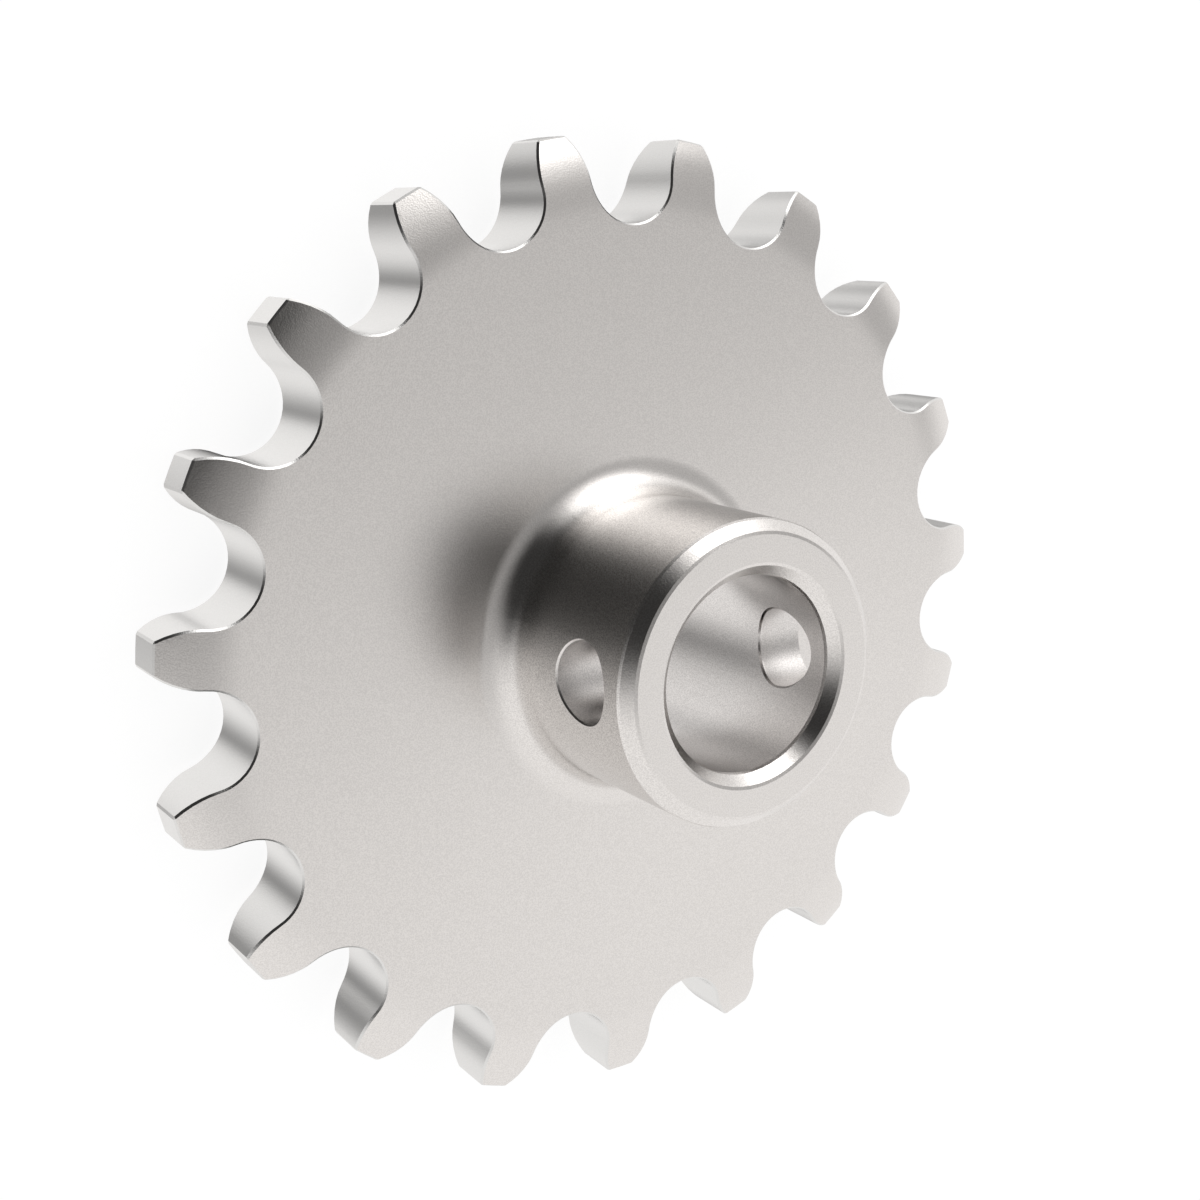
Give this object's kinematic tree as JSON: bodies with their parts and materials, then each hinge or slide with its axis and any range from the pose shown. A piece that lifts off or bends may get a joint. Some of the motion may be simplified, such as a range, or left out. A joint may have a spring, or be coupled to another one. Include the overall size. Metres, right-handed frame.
{
  "type": "chain sprocket",
  "caption": "Single-strand roller chain sprocket with a hub on one side, a plain round bore and a cross hole through the hub.",
  "frame": {"origin": "where the bore's axis meets the plate's flat back face", "axes": "+Z along the bore, from the back face towards the hub's end; one tooth points along +Y; the cross hole runs along X"},
  "size_m": [0.0836, 0.0834, 0.0243],
  "materials": {
    "steel": "fine satin, as bead blasted"
  },
  "bodies": {
    "root": {"sprocket": "steel"}
  },
  "joints": []
}
